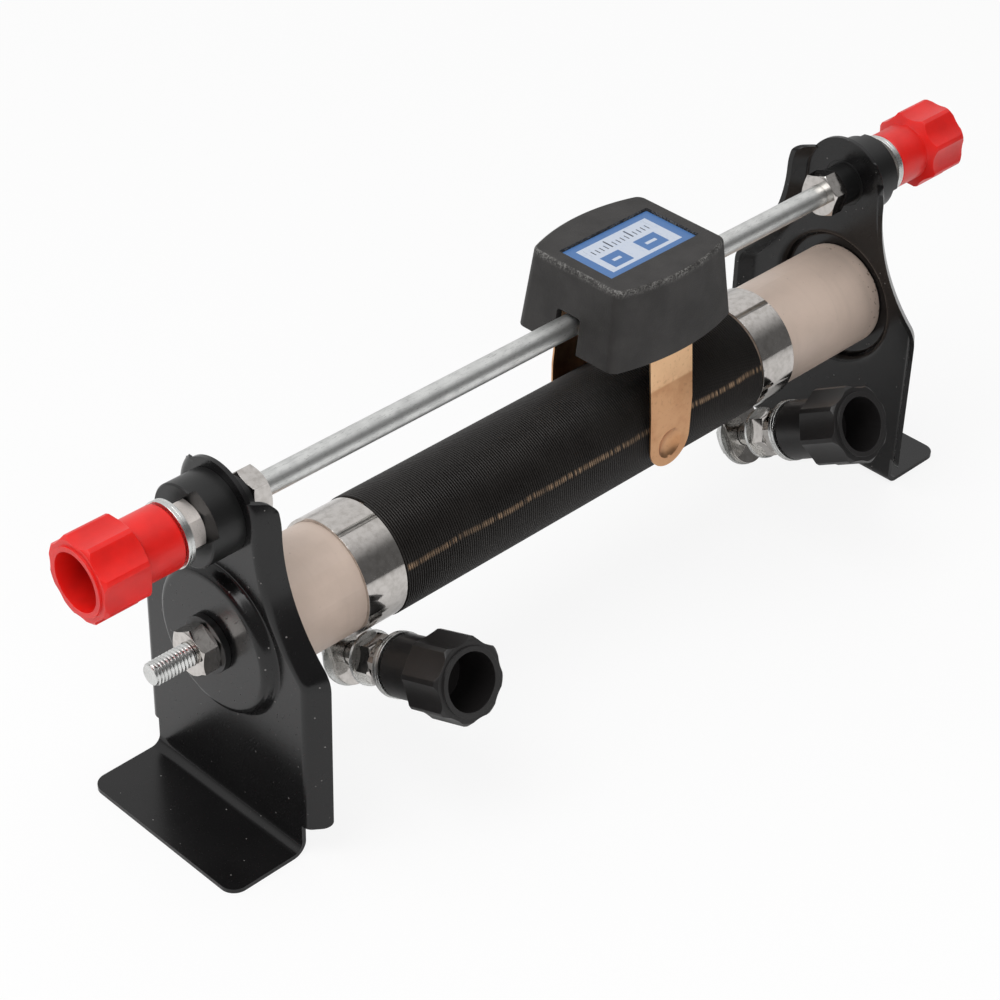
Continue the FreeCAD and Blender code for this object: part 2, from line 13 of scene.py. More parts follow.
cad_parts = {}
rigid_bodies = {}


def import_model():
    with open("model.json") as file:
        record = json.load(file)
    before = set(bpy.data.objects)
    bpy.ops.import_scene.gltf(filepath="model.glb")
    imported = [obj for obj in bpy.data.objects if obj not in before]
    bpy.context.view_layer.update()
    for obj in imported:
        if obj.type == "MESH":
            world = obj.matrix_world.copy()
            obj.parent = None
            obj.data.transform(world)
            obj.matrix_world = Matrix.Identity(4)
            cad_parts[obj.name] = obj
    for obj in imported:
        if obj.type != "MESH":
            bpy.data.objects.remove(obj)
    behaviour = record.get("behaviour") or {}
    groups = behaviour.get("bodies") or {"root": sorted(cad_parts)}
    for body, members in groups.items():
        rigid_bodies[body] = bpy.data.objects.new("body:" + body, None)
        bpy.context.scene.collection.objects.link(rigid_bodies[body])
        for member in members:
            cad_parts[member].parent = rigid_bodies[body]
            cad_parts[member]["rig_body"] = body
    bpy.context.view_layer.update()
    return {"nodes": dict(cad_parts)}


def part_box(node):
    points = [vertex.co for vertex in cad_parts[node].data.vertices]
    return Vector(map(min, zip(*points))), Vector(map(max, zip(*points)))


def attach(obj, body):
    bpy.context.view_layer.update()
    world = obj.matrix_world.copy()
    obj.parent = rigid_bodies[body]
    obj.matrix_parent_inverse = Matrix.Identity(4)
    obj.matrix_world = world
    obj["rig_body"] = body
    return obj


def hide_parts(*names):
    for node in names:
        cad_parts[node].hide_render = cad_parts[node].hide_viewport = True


bl_info = {
    "name": "Tubular Slide Rheostat",
    "version": (1, 0, 0),
    "blender": (4, 5, 0),
    "location": "View3D > Sidebar > Rheostat",
    "description": "Dresses a tubular slide rheostat on its fixed frame",
    "category": "Object",
}

MM = 0.001

for selected in bpy.context.selected_objects:
    selected.select_set(False)
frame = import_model()

NODES = frame["nodes"]


def middle(node):
    """Centre of a node's box at rest."""
    low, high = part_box(node)
    return (low + high) / 2


def radius_of(node):
    """Radius of a round node that lies along X."""
    low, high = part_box(node)
    return (high.z - low.z) / 2


AXIS = middle("porcelain_tube")
ROD_AXIS = middle("slide_rod")
SIDES = ("left", "right")
CAP_COLOURS = ("red", "black")

# What the finishes follow: millimetres, and degrees above the level of the tube's axis
RIM_SHOWN = 3.0
# Angle of the wire's painted golden highlight above the level of the axis, on both sides
GLINT_ANGLE = 17.5
CREASE_HEIGHT = 25.0

# Millimetres: the higher flange's top above the rod's axis, and the collars' outside
FLANGE_TOP = 4.0
COLLAR_RADIUS = 5.6

# Points closer than this are merged: on a node's copy, and along the seam of a coil
COPY_MERGE = 0.002 * MM
SEAM_MERGE = 0.0005 * MM

# Degrees: faces flatter than this are joined, and thread flanks sharper than this stay crisp
FLAT_ANGLE = 0.6
THREAD_ANGLE = 25

# Roundings of the pieces that neither of the user's two sizes suits
STRIP_ROUND = 0.05 * MM
LABEL_ROUND = 0.08 * MM
HOUSING_ROUND = 0.2 * MM
SHANK_ROUND = 0.2 * MM

# How far a thread stops before its rod's tip, and how much longer than its depth its taper is
TIP_BARE = 0.12 * MM
TIP_TAPER = 0.1 * MM

# Both rods are of one stock, and the slide rod's threads reach this far past its collars
ROD_RADIUS = radius_of("tie_rod")
THREAD_SHOWN = 3 * MM

# The wire's faces round its section and along one turn
WIRE_SIDES = 8
WIRE_STEPS = 60

# The studio: its soft box's direction and strength, the light from all round, how white the
# camera sees the floor, and the lamps' width in metres
SOFTBOX_WAY = (0.1, 0.55, 0.83)
SOFTBOX_STRENGTH = 0.68
AROUND_STRENGTH = 0.14
FLOOR_WHITENESS = 0.86
LAMP_WIDTH = 0.8


class RheostatSizes(bpy.types.PropertyGroup):
    """Sizes that a user may want to change."""

    edge_round: bpy.props.FloatProperty(
        name="Edge round", description="Rounding of the metal pieces' edges",
        default=0.12 * MM, min=0.0, unit="LENGTH")
    moulded_round: bpy.props.FloatProperty(
        name="Moulded round", description="Rounding of the moulded pieces' edges",
        default=0.45 * MM, min=0.0, unit="LENGTH")
    wire_pitch: bpy.props.FloatProperty(
        name="Wire pitch", description="Distance from one turn of the winding to the next",
        default=0.73 * MM, min=0.3 * MM, unit="LENGTH")
    wire_width: bpy.props.FloatProperty(
        name="Wire width", description="Width of the wire along the tube",
        default=0.63 * MM, min=0.1 * MM, unit="LENGTH")
    thread_pitch: bpy.props.FloatProperty(
        name="Thread pitch", description="Pitch of the rods' screw threads",
        default=1.0 * MM, min=0.3 * MM, unit="LENGTH")
    thread_depth: bpy.props.FloatProperty(
        name="Thread depth", description="Depth of the rods' screw threads",
        default=0.5 * MM, min=0.05 * MM, unit="LENGTH")


class RheostatColours(bpy.types.PropertyGroup):
    """Colours that a user may want to change."""

    porcelain: bpy.props.FloatVectorProperty(
        name="Porcelain", description="Colour of the ceramic tube", subtype="COLOR",
        size=3, min=0.0, max=1.0, default=(0.585, 0.468, 0.395))
    red_moulding: bpy.props.FloatVectorProperty(
        name="Red moulding", description="Colour of the rod's terminal caps", subtype="COLOR",
        size=3, min=0.0, max=1.0, default=(0.67, 0.012, 0.009))
    black_moulding: bpy.props.FloatVectorProperty(
        name="Black moulding", description="Colour of the winding's terminal caps", subtype="COLOR",
        size=3, min=0.0, max=1.0, default=(0.012, 0.011, 0.011))
    housing: bpy.props.FloatVectorProperty(
        name="Housing", description="Colour of the slider's housing", subtype="COLOR",
        size=3, min=0.0, max=1.0, default=(0.026, 0.024, 0.023))
    label_blue: bpy.props.FloatVectorProperty(
        name="Label blue", description="Colour of the label's border", subtype="COLOR",
        size=3, min=0.0, max=1.0, default=(0.055, 0.15, 0.36))
    label_pale: bpy.props.FloatVectorProperty(
        name="Label pale", description="Colour of the label's panel", subtype="COLOR",
        size=3, min=0.0, max=1.0, default=(0.50, 0.55, 0.64))


class Number:
    """A number in a node tree: Python arithmetic on it adds Math nodes."""

    def __init__(self, tree, socket):
        self.tree = tree
        self.socket = socket

    def math(self, operation, *others):
        """Math node on this number and the others."""
        node = self.tree.nodes.new("ShaderNodeMath")
        node.operation = operation
        for slot, value in zip(node.inputs, (self, *others)):
            if isinstance(value, Number):
                self.tree.links.new(value.socket, slot)
            else:
                slot.default_value = value
        return Number(self.tree, node.outputs[0])

    def __add__(self, other):
        return self.math("ADD", other)

    def __radd__(self, other):
        return self.math("ADD", other)

    def __sub__(self, other):
        return self.math("SUBTRACT", other)

    def __rsub__(self, other):
        return (self * -1) + other

    def __mul__(self, other):
        return self.math("MULTIPLY", other)

    def __rmul__(self, other):
        return self.math("MULTIPLY", other)

    def __truediv__(self, other):
        return self.math("DIVIDE", other)

    def __gt__(self, other):
        return self.math("GREATER_THAN", other)

    def __lt__(self, other):
        return self.math("LESS_THAN", other)

    def __abs__(self):
        return self.math("ABSOLUTE")

    def fade(self, low, high):
        """Smooth step from 0 at low to 1 at high."""
        node = self.tree.nodes.new("ShaderNodeMapRange")
        node.interpolation_type = "SMOOTHSTEP"
        self.tree.links.new(self.socket, node.inputs["Value"])
        node.inputs["From Min"].default_value = low
        node.inputs["From Max"].default_value = high
        return Number(self.tree, node.outputs["Result"])


class Finish:
    """One material: its nodes, with places in millimetres in the frame's own axes."""

    def __init__(self, name):
        self.material = bpy.data.materials.new(name)
        self.material.use_nodes = True
        self.tree = self.material.node_tree
        self.shader = self.tree.nodes["Principled BSDF"]
        self.places = self.add("ShaderNodeTexCoord", output="Object")

    def add(self, kind, settings=None, output=0, **inputs):
        """Any node: its settings go first, then the values or links of its sockets.

        A socket is given by its name, or as i and its number where two have one name.
        """
        node = self.tree.nodes.new(kind)
        for key, value in (settings or {}).items():
            setattr(node, key, value)
        for key, value in inputs.items():
            socket = int(key[1:]) if key[1:].isdigit() else key.replace("_", " ")
            self.feed(node.inputs[socket], value)
        return Number(self.tree, node.outputs[output])

    def feed(self, socket, value):
        """Give a socket a value or a link."""
        if isinstance(value, Number):
            self.tree.links.new(value.socket, socket)
        elif socket.type == "RGBA" and len(value) == 3:
            socket.default_value = (*value, 1.0)
        else:
            socket.default_value = value

    def set(self, **inputs):
        """Sockets of the surface shader."""
        for key, value in inputs.items():
            self.feed(self.shader.inputs[key.replace("_", " ")], value)

    def from_point(self, point, scale=(1, 1, 1), turn=(0, 0, 0)):
        """Places in millimetres from a point, turned and stretched."""
        shifted = self.add("ShaderNodeVectorMath", {"operation": "SUBTRACT"},
                           i0=self.places, i1=tuple(point))
        grown = self.add("ShaderNodeVectorMath", {"operation": "SCALE"}, i0=shifted, Scale=1 / MM)
        turned = self.add("ShaderNodeMapping", {"vector_type": "TEXTURE"}, Vector=grown, Rotation=turn)
        return self.add("ShaderNodeVectorMath", {"operation": "MULTIPLY"}, i0=turned, i1=scale)

    def split(self, places):
        """The x, y and z of some places."""
        first = self.add("ShaderNodeSeparateXYZ", Vector=places)
        return [Number(self.tree, output) for output in first.socket.node.outputs]

    def noise(self, places, scale, detail=3.0, roughness=0.55):
        """Noise from 0 to 1 over some places."""
        return self.add("ShaderNodeTexNoise", output="Fac", Vector=places, Scale=scale,
                        Detail=detail, Roughness=roughness)

    def mix(self, share, first, second):
        """Colour between two."""
        return self.add("ShaderNodeMix", {"data_type": "RGBA"}, output=2, i0=share, i6=first, i7=second)

    def relief(self, height, depth, strength):
        """Bumps of some depth in metres."""
        return self.add("ShaderNodeBump", Height=height, Distance=depth, Strength=strength)


def tint(colour, factor):
    """A colour made lighter or darker."""
    return tuple(min(1.0, channel * factor) for channel in colour)


def alone(piece):
    """Deselect everything, then select and activate one object."""
    for other in bpy.context.selected_objects:
        other.select_set(False)
    bpy.context.view_layer.objects.active = piece
    piece.select_set(True)


def edit(piece, *steps):
    """Run edit-mode steps on one object, with its whole mesh selected first."""
    alone(piece)
    bpy.ops.object.mode_set(mode="EDIT")
    bpy.ops.mesh.select_all(action="SELECT")
    for step in steps:
        step()
    bpy.ops.object.mode_set(mode="OBJECT")


def apply_modifiers(piece):
    """Apply a piece's modifiers in order."""
    alone(piece)
    for modifier in list(piece.modifiers):
        bpy.ops.object.modifier_apply(modifier=modifier.name)


def moved(piece, matrix):
    """Move a piece's mesh and leave its object at the origin."""
    piece.data.transform(matrix)
    piece.data.update()


def settle(piece, name, finish, node):
    """Name a piece, give it its finish and put it on the body of the node it stands for."""
    piece.name = name
    piece.data.name = name
    piece.data.materials.clear()
    piece.data.materials.append(finish)
    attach(piece, NODES[node]["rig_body"])
    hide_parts(node)


def merged_copy(node):
    """Copy of a node's mesh as one piece, its loose triangles merged and flat faces joined."""
    piece = bpy.data.objects.new(node + "_copy", NODES[node].data.copy())
    bpy.context.scene.collection.objects.link(piece)
    edit(piece,
         lambda: bpy.ops.mesh.remove_doubles(threshold=COPY_MERGE),
         lambda: bpy.ops.mesh.dissolve_limited(angle_limit=math.radians(FLAT_ANGLE)))
    return piece


def soften(piece, width, segments=2, angle=32):
    """Round a piece's edges that are sharper than some degrees, and shade the rest smooth."""
    bevel = piece.modifiers.new("round", "BEVEL")
    bevel.width = width
    bevel.segments = segments
    bevel.limit_method = "ANGLE"
    bevel.angle_limit = math.radians(angle)
    bevel.miter_outer = "MITER_ARC"
    bevel.use_clamp_overlap = True
    apply_modifiers(piece)
    alone(piece)
    bpy.ops.object.shade_smooth_by_angle(angle=math.radians(angle + 8))
    weighted = piece.modifiers.new("flat faces", "WEIGHTED_NORMAL")
    weighted.keep_sharp = True
    weighted.weight = 60
    apply_modifiers(piece)
    return piece


def dress_node(node, finish, width, segments=2, angle=32, shape=None):
    """A softened copy of a node takes its place; shape may change the copy first."""
    piece = merged_copy(node)
    if shape:
        shape(piece, node)
    soften(piece, width, segments, angle)
    settle(piece, node + "_dressed", finish, node)


def lowered_flange(piece, node):
    """Cut a bracket's higher flange down to the height that the photograph shows."""
    low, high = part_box(node)
    collar_low, collar_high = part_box(node.replace("end_bracket", "rod_collar"))
    if node.endswith("left"):
        depth, width = (collar_low.x, high.x + MM), (ROD_AXIS.y, high.y)
    else:
        depth, width = (low.x - MM, collar_high.x), (low.y, ROD_AXIS.y)
    spans = (depth, width, (ROD_AXIS.z + FLANGE_TOP * MM, high.z + MM))
    bpy.ops.mesh.primitive_cube_add(size=1.0, location=[(start + end) / 2 for start, end in spans])
    cutter = bpy.context.object
    cutter.scale = [end - start for start, end in spans]
    cut = piece.modifiers.new("cut", "BOOLEAN")
    cut.operation = "DIFFERENCE"
    cut.solver = "EXACT"
    cut.object = cutter
    apply_modifiers(piece)
    bpy.data.objects.remove(cutter)


def narrowed_collar(piece, _):
    """Bring a collar's outside in towards the rod, to the radius that the photograph shows."""
    radius = COLLAR_RADIUS * MM
    for vertex in piece.data.vertices:
        arm = Vector((0, vertex.co.y - ROD_AXIS.y, vertex.co.z - ROD_AXIS.z))
        if arm.length > radius:
            vertex.co -= arm * (1 - radius / arm.length)


def paint_finish():
    """Glossy black stoved paint with a slight peel, fine scratches and specks of dust."""
    finish = Finish("black_paint")
    places = finish.from_point((0, 0, 0))
    cloud = finish.noise(places, 0.035)
    peel = finish.noise(places, 0.5, 3)
    along = finish.from_point((0, 0, 0), scale=(1, 1, 0.04), turn=(0.5, 0.3, 0))
    scratches = finish.noise(along, 1.6, 2)
    specks = finish.add("ShaderNodeTexVoronoi", {"feature": "F1"}, output="Distance",
                        Vector=places, Scale=0.52, Randomness=1.0)
    size = finish.noise(places, 0.6, 1)
    dust = (specks < (size.fade(0.46, 0.68) * 0.12)) * 0.5
    colour = finish.mix(cloud.fade(0.35, 0.7), (0.0036, 0.0034, 0.0036), (0.0062, 0.0058, 0.0060))
    finish.set(Base_Color=finish.mix(dust, colour, (0.30, 0.29, 0.28)),
               Roughness=0.17 + cloud * 0.09 + scratches.fade(0.62, 0.75) * 0.12 + dust * 0.5,
               IOR=1.45,
               Normal=finish.relief(peel, 0.012 * MM, 0.5))
    return finish.material


def porcelain_finish(colour):
    """Ceramic, half glossy, with faint rings, specks, painted shadow lines by the bands and chipped
    rims.
    """
    finish = Finish("porcelain")
    places = finish.from_point(AXIS)
    cloud = finish.noise(places, 0.06, 4)
    rings = finish.noise(finish.from_point(AXIS, scale=(1, 0.05, 0.05)), 0.55, 3)
    grain = finish.noise(places, 2.6, 4)
    spots = finish.noise(places, 0.75, 2)
    reach = abs(finish.split(places)[0])
    band_edge = (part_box("clamp_band_right")[1].x - AXIS.x) / MM
    dish_edge = (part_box("porcelain_tube")[1].x - AXIS.x) / MM - RIM_SHOWN
    # Painted shadow: a thin brown line along the outer edge of each band
    band_shadow = 1 - abs(reach - band_edge).fade(0.1, 0.9)
    rim = (reach + grain * 1.2).fade(dish_edge - 1.2, dish_edge + 0.6)
    shade = finish.mix(cloud.fade(0.3, 0.75), tint(colour, 1.05), tint(colour, 0.9))
    shade = finish.mix(rings.fade(0.5, 0.8) * 0.3, shade, tint(colour, 0.85))
    shade = finish.mix((grain > 0.69) * 0.3, shade, tint(colour, 0.6))
    shade = finish.mix(spots.fade(0.73, 0.78) * 0.45, shade, (0.12, 0.09, 0.07))
    shade = finish.mix(rim * 0.5, shade, tint(colour, 1.2))
    shade = finish.mix(rim * spots.fade(0.62, 0.70) * 0.8, shade, (0.15, 0.09, 0.055))
    shade = finish.mix(band_shadow * 0.75, shade, (0.12, 0.085, 0.06))
    finish.set(Base_Color=shade, Roughness=0.30 + grain * 0.16 + rim * 0.3, IOR=1.5,
               Normal=finish.relief(grain + cloud, 0.02 * MM, 0.6))
    return finish.material


def wire_finish():
    """Oxidised resistance wire: black, with a painted golden highlight in a broken line along each side.
    """
    finish = Finish("oxidised_wire")
    places = finish.from_point(AXIS)
    _, y, z = finish.split(places)
    lengthwise = finish.from_point(AXIS, scale=(1, 0, 0))
    drift = finish.noise(lengthwise, 0.05, 3) - 0.5
    broken = finish.noise(lengthwise, 1.3, 1)
    slow = finish.noise(lengthwise, 0.035, 2)
    cloud = finish.noise(places, 0.09, 3)
    # Painted highlight: a broken golden line of glints along each side of the winding, with more metal
    # and less roughness under it
    angle = math.radians(GLINT_ANGLE)
    from_line = z * math.cos(angle) - abs(y) * math.sin(angle) - drift * 2.4
    glint_strength = 0.30 + slow.fade(0.3, 0.65) * 0.5
    glint = (1 - abs(from_line).fade(0.15, 1.1)) * broken.fade(0.38, 0.60) * glint_strength
    dark = finish.mix(cloud.fade(0.3, 0.7), (0.0115, 0.0095, 0.0085), (0.0175, 0.015, 0.0135))
    finish.set(Base_Color=finish.mix(glint * 0.8, dark, (0.62, 0.42, 0.27)),
               Metallic=0.35 + glint * 0.6,
               Roughness=0.42 - glint * 0.16 + cloud * 0.08)
    return finish.material


def zinc_finish(name, scratch=(1, 1, 1), warm=False, rough=0.2, metal=1.0):
    """Zinc plate, a little cloudy, with pits and fine scratches along one way."""
    finish = Finish(name)
    places = finish.from_point((0, 0, 0))
    along = finish.from_point((0, 0, 0), scale=scratch)
    cloud = finish.noise(places, 0.22, 4)
    lines = finish.noise(along, 2.0, 4)
    pits = finish.noise(along, 5.0, 2)
    light = (0.80, 0.74, 0.70) if warm else (0.78, 0.785, 0.77)
    dark = (0.60, 0.555, 0.52) if warm else (0.45, 0.455, 0.45)
    dull = cloud.fade(0.3, 0.7) * 0.4 + lines.fade(0.5, 0.75) * 0.35
    shade = finish.mix(dull, light, dark)
    finish.set(Base_Color=finish.mix(pits.fade(0.6, 0.7) * 0.5, shade, tint(dark, 0.55)),
               Metallic=metal,
               Roughness=rough + cloud * 0.14 + lines.fade(0.5, 0.8) * 0.1,
               Normal=finish.relief(lines + pits * 0.5, 0.012 * MM, 0.7))
    return finish.material


def nickel_finish():
    """Bright nickel plate with slight waves and a light haze, as on the bands and nuts."""
    finish = Finish("nickel_plate")
    places = finish.from_point((0, 0, 0))
    wave = finish.noise(places, 0.10, 2)
    haze = finish.noise(places, 0.6, 4)
    along = finish.from_point((0, 0, 0), scale=(1, 0.05, 1), turn=(0.6, 0, 0.4))
    scratches = finish.noise(along, 2.4, 2)
    finish.set(Base_Color=finish.mix(haze.fade(0.35, 0.75), (0.62, 0.59, 0.565), (0.48, 0.455, 0.43)),
               Metallic=1.0,
               Roughness=0.05 + haze * 0.06 + scratches.fade(0.6, 0.75) * 0.12,
               Normal=finish.relief(wave, 0.25 * MM, 0.25))
    return finish.material


def moulding_finish(name, colour, rough, grain_depth, dust, glow=0.0):
    """Moulded plastic with a fine skin, faint clouding and a little dust; glow lets light into it."""
    finish = Finish(name)
    places = finish.from_point((0, 0, 0))
    cloud = finish.noise(places, 0.10, 3)
    skin = finish.noise(places, 1.8, 3)
    fine = finish.noise(places, 6.0, 2)
    dusty = tint([channel + 0.02 for channel in colour], 2.4)
    shade = finish.mix(cloud.fade(0.3, 0.75), tint(colour, 1.08), tint(colour, 0.86))
    shade = finish.mix((fine > 0.70) * dust, shade, dusty)
    finish.set(Base_Color=shade, Roughness=rough + cloud * 0.12 + (skin - 0.5) * 0.1, IOR=1.45,
               Subsurface_Weight=glow, Subsurface_Scale=4 * MM, Subsurface_Radius=(1.0, 0.2, 0.1),
               Normal=finish.relief(skin + fine * 0.6, grain_depth, 0.6))
    return finish.material


def housing_finish(colour):
    """The slider's grained black moulding, pale where its top edges are worn."""
    finish = Finish("housing_moulding")
    centre = middle("slider_housing")
    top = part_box("slider_housing")[1].z
    places = finish.from_point((centre.x, centre.y, top))
    z = finish.split(places)[2]
    grain = finish.noise(places, 2.2, 5, 0.7)
    cloud = finish.noise(places, 0.12, 3)
    patches = finish.noise(places, 0.35, 4, 0.7)
    rim = z.fade(-2.2, -0.4) * (1 - z.fade(-0.10, -0.01))
    worn = rim * grain.fade(0.42, 0.6) * patches.fade(0.3, 0.6)
    shade = finish.mix(cloud.fade(0.3, 0.7), tint(colour, 1.15), tint(colour, 0.8))
    shade = finish.mix(grain.fade(0.62, 0.74) * 0.5, shade, tint(colour, 3.0))
    shade = finish.mix(worn * 0.85, shade, (0.20, 0.195, 0.185))
    finish.set(Base_Color=shade, Roughness=0.50 + cloud * 0.12, IOR=1.45,
               Normal=finish.relief(grain + patches * 0.6, 0.10 * MM, 0.9))
    return finish.material


def copper_finish():
    """Rolled copper strip with painted shade: its legs bright above the crease and darker, browner below
    it.
    """
    finish = Finish("copper")
    places = finish.from_point((middle("contact_strip").x, AXIS.y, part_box("contact_strip")[0].z))
    z = finish.split(places)[2]
    lines = finish.noise(finish.from_point((0, 0, 0), scale=(1, 1, 0.06)), 1.6, 4)
    cloud = finish.noise(places, 0.16, 4)
    stains = finish.noise(places, 0.9, 4)
    # Painted shade on the legs below the crease, plus random tone from the cloud
    painted_shade_and_tone = (1 - z.fade(CREASE_HEIGHT - 0.4, CREASE_HEIGHT + 0.4)) * 0.62 + cloud.fade(0.4, 0.75) * 0.25
    shade = finish.mix(painted_shade_and_tone, (0.92, 0.59, 0.34), (0.53, 0.255, 0.12))
    shade = finish.mix(stains.fade(0.55, 0.75) * 0.35, shade, (0.40, 0.20, 0.10))
    finish.set(Base_Color=shade,
               Metallic=1.0,
               Roughness=0.24 + lines * 0.16 + stains * 0.08,
               Normal=finish.relief(lines, 0.012 * MM, 0.6))
    return finish.material


def brass_finish():
    """Turned brass of the caps' inserts."""
    finish = Finish("brass")
    places = finish.from_point((0, 0, 0))
    cloud = finish.noise(places, 0.5, 4)
    finish.set(Base_Color=finish.mix(cloud, (0.72, 0.53, 0.22), (0.52, 0.36, 0.13)),
               Metallic=1.0, Roughness=0.28 + cloud * 0.15)
    return finish.material


def label_finish(blue, pale):
    """Printed label: a border round a pale panel with a plain ruled scale and two blocks."""
    finish = Finish("label")
    low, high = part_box("label_plate")
    half_x = (high.x - low.x) / 2 / MM
    half_y = (high.y - low.y) / 2 / MM
    places = finish.from_point(middle("label_plate"))
    x, y, _ = finish.split(places)

    def block(left, right, bottom, top):
        """1 inside a rectangle given in shares of the label's half sizes."""
        across = (x > left * half_x) * (x < right * half_x)
        return across * (y > bottom * half_y) * (y < top * half_y)

    def ruled(spacing, width):
        """1 on lines across the label, so many millimetres apart and so wide."""
        return abs((x / spacing).math("FRACT") - 0.5) < width / spacing / 2

    ink = (0.035, 0.045, 0.065)
    shade = finish.mix(block(-0.80, 0.80, -0.74, 0.74), blue, pale)
    short_ticks = ruled(1.5, 0.34) * block(-0.70, 0.70, 0.24, 0.46)
    long_ticks = ruled(7.5, 0.5) * block(-0.70, 0.70, 0.24, 0.64)
    shade = finish.mix(short_ticks.math("MAXIMUM", long_ticks), shade, ink)
    for left, right in ((-0.66, -0.24), (0.10, 0.58)):
        shade = finish.mix(block(left, right, -0.60, 0.04), shade, blue)
        shade = finish.mix(block(left + 0.12, right - 0.12, -0.34, -0.22), shade, pale)
    grain = finish.noise(places, 0.9, 3)
    finish.set(Base_Color=finish.mix(grain.fade(0.5, 0.8) * 0.2, shade, tint(blue, 1.4)),
               Roughness=0.30 + grain * 0.12, IOR=1.5)
    return finish.material


def coil(profile, start, pitch, turns, steps):
    """Screw a flat profile of (x, radius) points along X into a coil, its ends left open."""
    mesh = bpy.data.meshes.new("coil")
    points = [Vector((start + x, 0, radius)) for x, radius in profile]
    links = [(i, i + 1) for i in range(len(points) - 1)]
    mesh.from_pydata(points, links, [])
    piece = bpy.data.objects.new("coil", mesh)
    bpy.context.scene.collection.objects.link(piece)
    screw = piece.modifiers.new("turns", "SCREW")
    screw.axis = "X"
    screw.angle = 2 * math.pi
    screw.screw_offset = pitch
    screw.iterations = turns
    screw.steps = steps
    screw.render_steps = steps
    screw.use_merge_vertices = True
    screw.merge_threshold = SEAM_MERGE
    apply_modifiers(piece)
    return piece


def cut_ends(piece, start, end):
    """Cut a coil square at both ends and close it."""
    edit(piece,
         lambda: bpy.ops.mesh.remove_doubles(threshold=SEAM_MERGE),
         lambda: bpy.ops.mesh.bisect(plane_co=(start, 0, 0), plane_no=(1, 0, 0),
                                     use_fill=True, clear_inner=True),
         lambda: bpy.ops.mesh.select_all(action="SELECT"),
         lambda: bpy.ops.mesh.bisect(plane_co=(end, 0, 0), plane_no=(1, 0, 0),
                                     use_fill=True, clear_outer=True),
         lambda: bpy.ops.mesh.select_all(action="SELECT"),
         lambda: bpy.ops.mesh.normals_make_consistent(inside=False))


def taper_tip(piece, end, length, tip_radius, way):
    """Bring the crests near one end in, as a chamfered screw tip."""
    for vertex in piece.data.vertices:
        depth = (end - vertex.co.x) * way
        if depth < length:
            limit = tip_radius + max(depth, 0.0)
            radius = math.hypot(vertex.co.y, vertex.co.z)
            if radius > limit:
                vertex.co.y *= limit / radius
                vertex.co.z *= limit / radius


def screw_thread(radius, start, end, pitch, depth, steps=28):
    """Threaded stretch along X, closed at both ends."""
    root = radius - depth
    profile = [(0.0, root), (0.12 * pitch, root), (0.44 * pitch, radius), (0.56 * pitch, radius),
               (0.88 * pitch, root), (pitch, root)]
    turns = math.ceil((end - start) / pitch) + 2
    piece = coil(profile, start - pitch, pitch, turns, steps)
    cut_ends(piece, start, end)
    return piece


def plain_shank(radius, start, end, sides=40):
    """Plain round stretch along X with its rims rounded."""
    bpy.ops.mesh.primitive_cylinder_add(vertices=sides, radius=radius, depth=end - start,
                                        rotation=(0, math.pi / 2, 0), location=((start + end) / 2, 0, 0))
    piece = bpy.context.object
    bpy.ops.object.transform_apply()
    return soften(piece, min(SHANK_ROUND, radius / 4))


def threaded_end(radius, start, end, pitch, depth, way):
    """Thread out to a rod's tip on one side, and the round core that closes the tip."""
    cut = end - TIP_BARE
    thread = screw_thread(radius, *sorted((way * start, way * cut)), pitch, depth)
    taper_tip(thread, way * cut, depth + TIP_TAPER, radius - depth, way)
    core = plain_shank(radius - 0.75 * depth, *sorted((way * (end - 2 * pitch), way * end)))
    return [thread, core]


def joined(pieces):
    """Several objects as one."""
    alone(pieces[0])
    for piece in pieces[1:]:
        piece.select_set(True)
    bpy.ops.object.join()
    pieces[0].data.validate()
    return pieces[0]


def thread_rod(node, centre, relief, plain_end, finish, sizes, sides=40):
    """Replace a rod by a plain stretch, thinner by its relief, with a threaded end on each side."""
    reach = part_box(node)[1].x - centre.x
    pitch, depth = sizes.thread_pitch, sizes.thread_depth
    pieces = [plain_shank(ROD_RADIUS - relief, -plain_end, plain_end, sides)]
    for way in (-1, 1):
        pieces += threaded_end(ROD_RADIUS, plain_end - pitch, reach, pitch, depth, way)
    rod = joined(pieces)
    alone(rod)
    bpy.ops.object.shade_smooth_by_angle(angle=math.radians(THREAD_ANGLE))
    moved(rod, Matrix.Translation(centre))
    settle(rod, node + "_threaded", finish, node)


class RHEOSTAT_OT_wind_tube(bpy.types.Operator):
    """Dress the porcelain tube and wind its wire"""

    bl_idname = "rheostat.wind_tube"
    bl_label = "Tube and winding"

    def execute(self, context):
        """Soften the tube and replace its sleeve by turns of wire."""
        sizes = context.scene.rheostat_sizes
        colours = context.scene.rheostat_colours
        dress_node("porcelain_tube", porcelain_finish(colours.porcelain), sizes.edge_round, 2, 45)
        low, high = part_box("resistance_winding")
        inner = radius_of("porcelain_tube")
        half = (radius_of("resistance_winding") - inner) / 2
        angles = [math.tau * (i + 0.5) / WIRE_SIDES for i in range(WIRE_SIDES + 1)]
        wire = [(sizes.wire_width / 2 * math.cos(angle), inner + half + half * math.sin(angle))
                for angle in angles]
        turns = int((high.x - low.x) / sizes.wire_pitch) - 1
        piece = coil(wire, low.x + sizes.wire_pitch / 2, sizes.wire_pitch, turns, WIRE_STEPS)
        edit(piece,
             lambda: bpy.ops.mesh.remove_doubles(threshold=SEAM_MERGE),
             lambda: bpy.ops.mesh.fill_holes(sides=0),
             lambda: bpy.ops.mesh.normals_make_consistent(inside=False))
        alone(piece)
        bpy.ops.object.shade_smooth()
        moved(piece, Matrix.Translation((0, AXIS.y, AXIS.z)))
        settle(piece, "wound_wire", wire_finish(), "resistance_winding")
        return {"FINISHED"}


